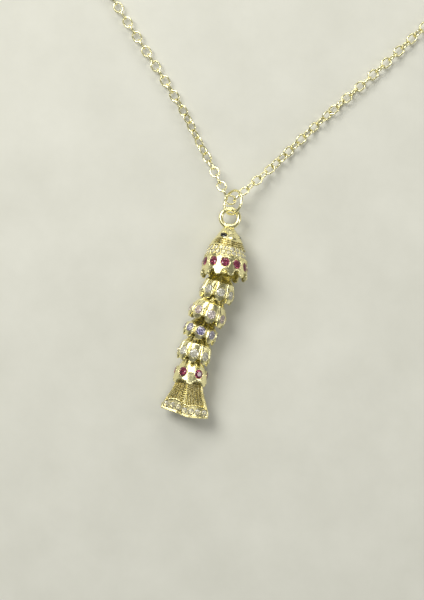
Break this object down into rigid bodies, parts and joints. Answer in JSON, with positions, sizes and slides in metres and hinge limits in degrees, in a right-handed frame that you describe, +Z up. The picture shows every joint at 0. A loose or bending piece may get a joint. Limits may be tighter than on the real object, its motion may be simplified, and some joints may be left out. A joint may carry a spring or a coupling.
{
  "type": "articulated fish pendant necklace",
  "caption": "Jointed fish pendant of hollow flared castings set with round stones, on a fine cable chain with a sprung clasp.",
  "frame": {"origin": "on the surface that the pendant lies on, under the middle of the pendant with its jump ring", "axes": "+Y along the pendant towards its nose and the chain, +Z up from the surface, +X to the fish's right as seen from above"},
  "size_m": [0.0896, 0.1244, 0.0094],
  "materials": {
    "cast_gold": "pale yellow gold plating over cast brass, polished",
    "chain_gold": "pale yellow gold plating on drawn brass wire, polished",
    "spring_steel": "plain steel wire",
    "ruby_stone": "faceted raspberry red paste stone, polished",
    "white_stone": "faceted clear paste stone, polished",
    "pink_stone": "faceted pale pink paste stone, polished",
    "violet_stone": "faceted violet blue paste stone, polished",
    "black_stone": "black oval paste stone, polished"
  },
  "bodies": {
    "chain": {"chain_left_run": "chain_gold", "chain_left_coil": "chain_gold", "chain_right_run": "chain_gold", "chain_right_coil": "chain_gold", "chain_middle_links": "chain_gold", "clasp_body": "chain_gold", "clasp_pin": "spring_steel", "clasp_spring": "spring_steel", "clasp_link_ring": "chain_gold", "end_tag": "chain_gold", "tag_link_ring": "chain_gold"},
    "clasp_lever": {"clasp_lever": "chain_gold"},
    "jump_ring": {"jump_ring": "chain_gold"},
    "head": {"head_shell": "cast_gold", "bail_ring": "cast_gold", "head_ruby_stones": "ruby_stone", "head_pave_stones": "white_stone", "eye_stones": "black_stone", "head_crossbar": "cast_gold"},
    "segment_1": {"segment_1_shell": "cast_gold", "segment_1_stones": "white_stone", "segment_1_crossbar": "cast_gold", "segment_1_eye": "cast_gold"},
    "segment_2": {"segment_2_shell": "cast_gold", "segment_2_stones": "pink_stone", "segment_2_crossbar": "cast_gold", "segment_2_eye": "cast_gold"},
    "segment_3": {"segment_3_shell": "cast_gold", "segment_3_stones": "violet_stone", "segment_3_crossbar": "cast_gold", "segment_3_eye": "cast_gold"},
    "segment_4": {"segment_4_shell": "cast_gold", "segment_4_stones": "white_stone", "segment_4_crossbar": "cast_gold", "segment_4_eye": "cast_gold"},
    "tail": {"tail_shell": "cast_gold", "tail_ruby_stones": "ruby_stone", "tail_pave_stones": "white_stone", "tail_eye": "cast_gold"}
  },
  "joints": [
    {"name": "clasp_gate", "type": "hinge", "parent": "chain", "child": "clasp_lever", "pos_m": [-0.03067, 0.07608, 0.0011], "axis": [0, 0, 1], "range_deg": [0, 20], "stiffness_Nm_per_rad": 0.0005, "springref_deg": -17.19},
    {"name": "jump_ring_swing", "type": "hinge", "parent": "chain", "child": "jump_ring", "pos_m": [-0.00052, 0.0219, 0.00365], "axis": [-1, 0, 0], "range_deg": [0, 20]},
    {"name": "head_swivel", "type": "hinge", "parent": "jump_ring", "child": "head", "pos_m": [0.0001, 0.0174, 0.00365], "axis": [0, 0, 1], "range_deg": [-30, 30]},
    {"name": "segment_1_bend", "type": "hinge", "parent": "head", "child": "segment_1", "pos_m": [0.00108, 0.00719, 0.00355], "axis": [0, 0, 1], "range_deg": [-1.7, 24.3]},
    {"name": "segment_2_bend", "type": "hinge", "parent": "segment_1", "child": "segment_2", "pos_m": [0.0006, 0.00246, 0.0039], "axis": [0, 0, 1], "range_deg": [-4.5, 15.5]},
    {"name": "segment_3_bend", "type": "hinge", "parent": "segment_2", "child": "segment_3", "pos_m": [-0.00033, -0.0022, 0.00352], "axis": [0, 0, 1], "range_deg": [-11.3, 8.7]},
    {"name": "segment_4_bend", "type": "hinge", "parent": "segment_3", "child": "segment_4", "pos_m": [-0.00098, -0.00589, 0.00345], "axis": [0, 0, 1], "range_deg": [-14.8, 5.2]},
    {"name": "tail_bend", "type": "hinge", "parent": "segment_4", "child": "tail", "pos_m": [-0.00139, -0.01047, 0.00335], "axis": [0, 0, 1], "range_deg": [-16.7, 3.3]}
  ]
}
